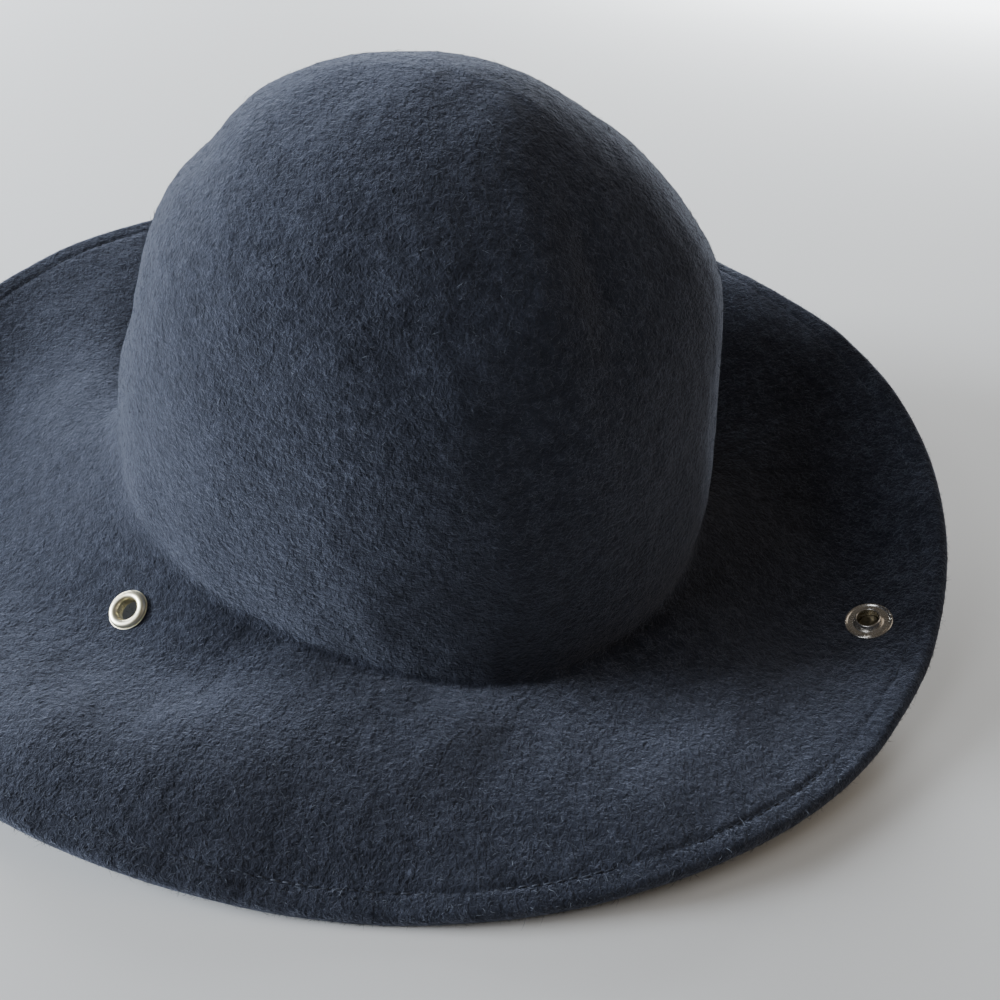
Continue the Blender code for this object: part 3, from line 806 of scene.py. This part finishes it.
def fibre_roots(rings, count, rng):
    """Random points on a grid of rings, even by area: a cell is drawn by its share of the area,
    then a point inside it by two random shares. Returns points and normals."""
    across = rings[1:] - rings[:-1]
    round_it = np.roll(rings, -1, axis=1) - rings
    area = np.linalg.norm(np.cross(across, round_it[:-1]), axis=-1).ravel()
    cell = np.searchsorted(np.cumsum(area) / area.sum(), rng.random(count))
    row, column = np.divmod(cell, rings.shape[1])
    u, v = rng.random((2, count, 1))
    point = rings[row, column] + u * across[row, column] + v * round_it[row, column]
    normal = np.cross(across[row, column], round_it[row, column])
    return point, normal / np.linalg.norm(normal, axis=1, keepdims=True)


def fibres(name, roots, normals, length, width, lift, rng):
    """Bent tapering ribbons. Each starts in the felt, leaves it at a random slant and bends back
    down: root + length * (s * way + s squared * bend), in two steps, its width shrinking to a tip."""
    count = len(roots)
    sideways = np.cross(normals, rng.normal(size=(count, 3)))
    sideways /= np.linalg.norm(sideways, axis=1, keepdims=True)
    slant = rng.gamma(2.0, lift / 2, count)[:, None]
    way = sideways + normals * slant
    way /= np.linalg.norm(way, axis=1, keepdims=True)
    curl = np.cross(normals, sideways) * rng.normal(0, 0.45, count)[:, None]
    bend = curl - normals * slant * rng.uniform(0.1, 0.9, count)[:, None]
    long = (length * rng.gamma(4.0, 0.25, count))[:, None]
    flat = np.cross(way, normals + 0.8 * rng.normal(size=(count, 3)))
    flat /= np.linalg.norm(flat, axis=1, keepdims=True)
    wide = (width * rng.uniform(0.6, 1.3, count))[:, None]
    start = roots - normals * ROOT_DEPTH
    middle = start + long * (0.5 * way + 0.25 * bend)
    tip = start + long * (way + bend)
    points = np.stack([start - wide * flat, start + wide * flat, middle + 0.8 * wide * flat,
                       middle - 0.8 * wide * flat, tip], axis=1) + SHIFT
    # A hair that meets the floor lies on it
    points[..., 2] = np.maximum(points[..., 2], FLOOR_TOUCH)
    base = 5 * np.arange(count)[:, None]
    faces = [*(base + [0, 1, 2, 3]).tolist(), *(base + [3, 2, 4]).tolist()]
    data = bpy.data.meshes.new(name)
    data.from_pydata(points.reshape(-1, 3), [], faces)
    shade = data.attributes.new("shade", "FLOAT", "POINT")
    shade.data.foreach_set("value", np.repeat(rng.random(count), 5))
    piece = bpy.data.objects.new(name, data)
    bpy.context.scene.collection.objects.link(piece)
    return piece


def fibre_material():
    """Wool hairs from navy to pale grey-blue, most of them dark, by each hair's own shade."""
    finish = bpy.data.materials.new("loose wool")
    finish.use_nodes = True
    tree = finish.node_tree
    shader = tree.nodes["Principled BSDF"]
    shade = add(tree, "ShaderNodeAttribute", {"attribute_name": "shade"}).outputs["Fac"]
    colour = add(tree, "ShaderNodeMix", {"data_type": "RGBA"}, Factor=maths(tree, "POWER", shade, 4.0))
    colour.inputs["A"].default_value = (0.014, 0.018, 0.030, 1)
    colour.inputs["B"].default_value = (0.20, 0.22, 0.26, 1)
    tree.links.new(colour.outputs["Result"], shader.inputs["Base Color"])
    shader.inputs["Roughness"].default_value = 0.8
    shader.inputs["Specular IOR Level"].default_value = 0.25
    return finish


loose_wool = fibre_material()
outer_skin = felt_rings[: len(outside) + FOLD_RINGS]
for row in PILE:
    pile = dict(zip(PILE_COLUMNS, row))
    rng = np.random.default_rng(pile["seed"])
    roots, normals = fibre_roots(outer_skin[pile["first"]: pile["last"]], pile["count"], rng)
    hairs = fibres(pile["name"], roots, normals, pile["length"], pile["width"], pile["lift"], rng)
    hairs.data.materials.append(loose_wool)
    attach(hairs, "root")


# The setting: a pale floor, four soft cool windows low on the left and behind, a faint warm room,
# and the camera where the photograph was taken from.

FLOOR_HALF = 3.0
EYE_HEADING = 11.27
EYE_DROP = 36.2
EYE_ROLL = 5.707
EYE_DISTANCE = 0.3337
AIM = np.array([0.0, 0.0, 0.08])
AIM_PIXEL = (419.5, 337.7)
PHOTO_SIZE = 1000
FOCAL_PIXELS = 1000.0
SENSOR_MM = 36.0
LIGHT_DISTANCE = 1.8
LIGHT_AIM_HEIGHT = 0.08
ROOM_GLOW = 0.09

# Where each light stands as seen from the crown, in degrees, its size in metres, power and colour
LIGHT_COLUMNS = ("name", "azimuth", "height", "width", "tall", "power", "colour")
LIGHTS = (
    ("left window", 198, 14, 0.70, 0.60, 76.0, (0.82, 0.90, 1.0)),
    ("left back window", 150, 11, 0.90, 0.50, 32.0, (0.86, 0.92, 1.0)),
    ("back window", 82, 9, 1.00, 0.40, 50.0, (0.88, 0.94, 1.0)),
    ("front window", 222, 34, 0.80, 0.80, 10.0, (0.86, 0.92, 1.0)),
    ("room behind", 20, 40, 1.60, 1.60, 7.0, (1.0, 0.88, 0.74)),
)

bpy.ops.mesh.primitive_grid_add(x_subdivisions=4, y_subdivisions=4, size=2 * FLOOR_HALF)
floor = bpy.context.object
floor.name = "pale_floor"
paper = bpy.data.materials.new("pale floor")
paper.use_nodes = True
shader = paper.node_tree.nodes["Principled BSDF"]
shader.inputs["Base Color"].default_value = (0.72, 0.71, 0.69, 1)
shader.inputs["Roughness"].default_value = 0.9
floor.data.materials.append(paper)

turn = (Matrix.Rotation(math.radians(EYE_HEADING), 4, "Z")
        @ Matrix.Rotation(math.radians(90 - EYE_DROP), 4, "X")
        @ Matrix.Rotation(math.radians(EYE_ROLL), 4, "Z"))
middle = PHOTO_SIZE / 2
sight = Vector(((AIM_PIXEL[0] - middle) / FOCAL_PIXELS * EYE_DISTANCE,
                (middle - AIM_PIXEL[1]) / FOCAL_PIXELS * EYE_DISTANCE, -EYE_DISTANCE))
eye = Vector(AIM + SHIFT) - turn.to_3x3() @ sight
camera = bpy.data.objects.new("camera", bpy.data.cameras.new("camera"))
camera.matrix_world = Matrix.Translation(eye) @ turn
camera.data.sensor_width = SENSOR_MM
camera.data.lens = SENSOR_MM * FOCAL_PIXELS / PHOTO_SIZE
camera.data.clip_start = 0.01
bpy.context.scene.collection.objects.link(camera)
bpy.context.scene.camera = camera


def soft_light(name, azimuth, height, width, tall, power, colour):
    """An oblong area light aimed at the crown, by its compass angle and its height in degrees."""
    data = bpy.data.lights.new(name, "AREA")
    data.shape = "RECTANGLE"
    data.energy = power
    data.size = width
    data.size_y = tall
    data.color = colour
    lamp = bpy.data.objects.new(name, data)
    a, h = math.radians(azimuth), math.radians(height)
    way = Vector((math.cos(a) * math.cos(h), math.sin(a) * math.cos(h), math.sin(h)))
    lamp.location = way * LIGHT_DISTANCE + Vector((0, 0, LIGHT_AIM_HEIGHT))
    lamp.rotation_euler = way.to_track_quat("Z", "Y").to_euler()
    bpy.context.scene.collection.objects.link(lamp)


for row in LIGHTS:
    soft_light(**dict(zip(LIGHT_COLUMNS, row)))

sky = bpy.data.worlds.new("room")
bpy.context.scene.world = sky
sky.use_nodes = True
sky.node_tree.nodes["Background"].inputs["Color"].default_value = (1.0, 0.90, 0.78, 1)
sky.node_tree.nodes["Background"].inputs["Strength"].default_value = ROOM_GLOW
